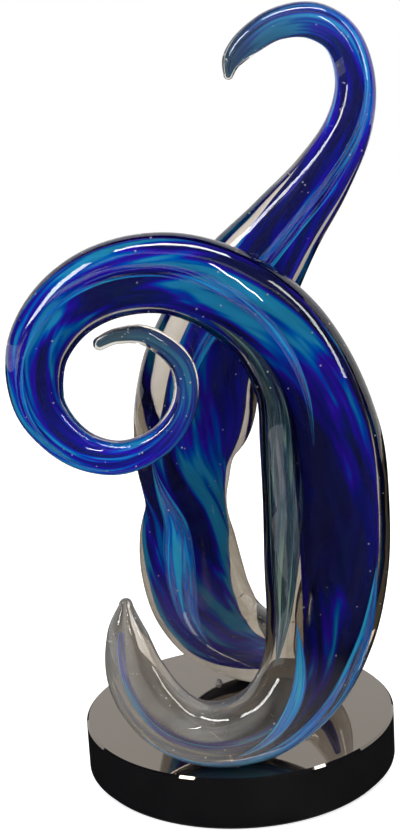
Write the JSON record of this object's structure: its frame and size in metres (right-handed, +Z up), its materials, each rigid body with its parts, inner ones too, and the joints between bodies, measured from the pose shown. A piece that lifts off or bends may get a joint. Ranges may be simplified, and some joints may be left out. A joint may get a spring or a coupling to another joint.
{
  "type": "glass sculpture",
  "caption": "Glass ornament: a curled wave limb in front of a twisted, hooked limb, both clear glass over blue cores, on a round black glass base.",
  "frame": {"origin": "centre of the underside of the felt, on the surface that the object stands on", "axes": "+Z up, -Y towards the side seen in the picture, +X to that side's right"},
  "size_m": [0.2187, 0.19, 0.451],
  "materials": {
    "black_glass": "polished",
    "felt": "matt felt",
    "clear_glass": "fire polished, seeded with bubbles",
    "blue_glass": "cased",
    "aqua_glass": "cased",
    "sea_green_glass": "cased",
    "adhesive": "clear cured"
  },
  "bodies": {
    "root": {"base_disc": "black_glass", "base_felt": "felt", "front_casing": "clear_glass", "front_core": "blue_glass", "front_aqua_trail": "aqua_glass", "front_sea_green_trail": "sea_green_glass", "front_lower_aqua_trail": "aqua_glass", "front_foot_bond": "adhesive", "rear_casing": "clear_glass", "rear_core": "blue_glass", "rear_aqua_trail": "aqua_glass", "rear_lower_aqua_trail": "aqua_glass", "rear_foot_bond": "adhesive", "glue_bead": "adhesive"}
  },
  "joints": []
}
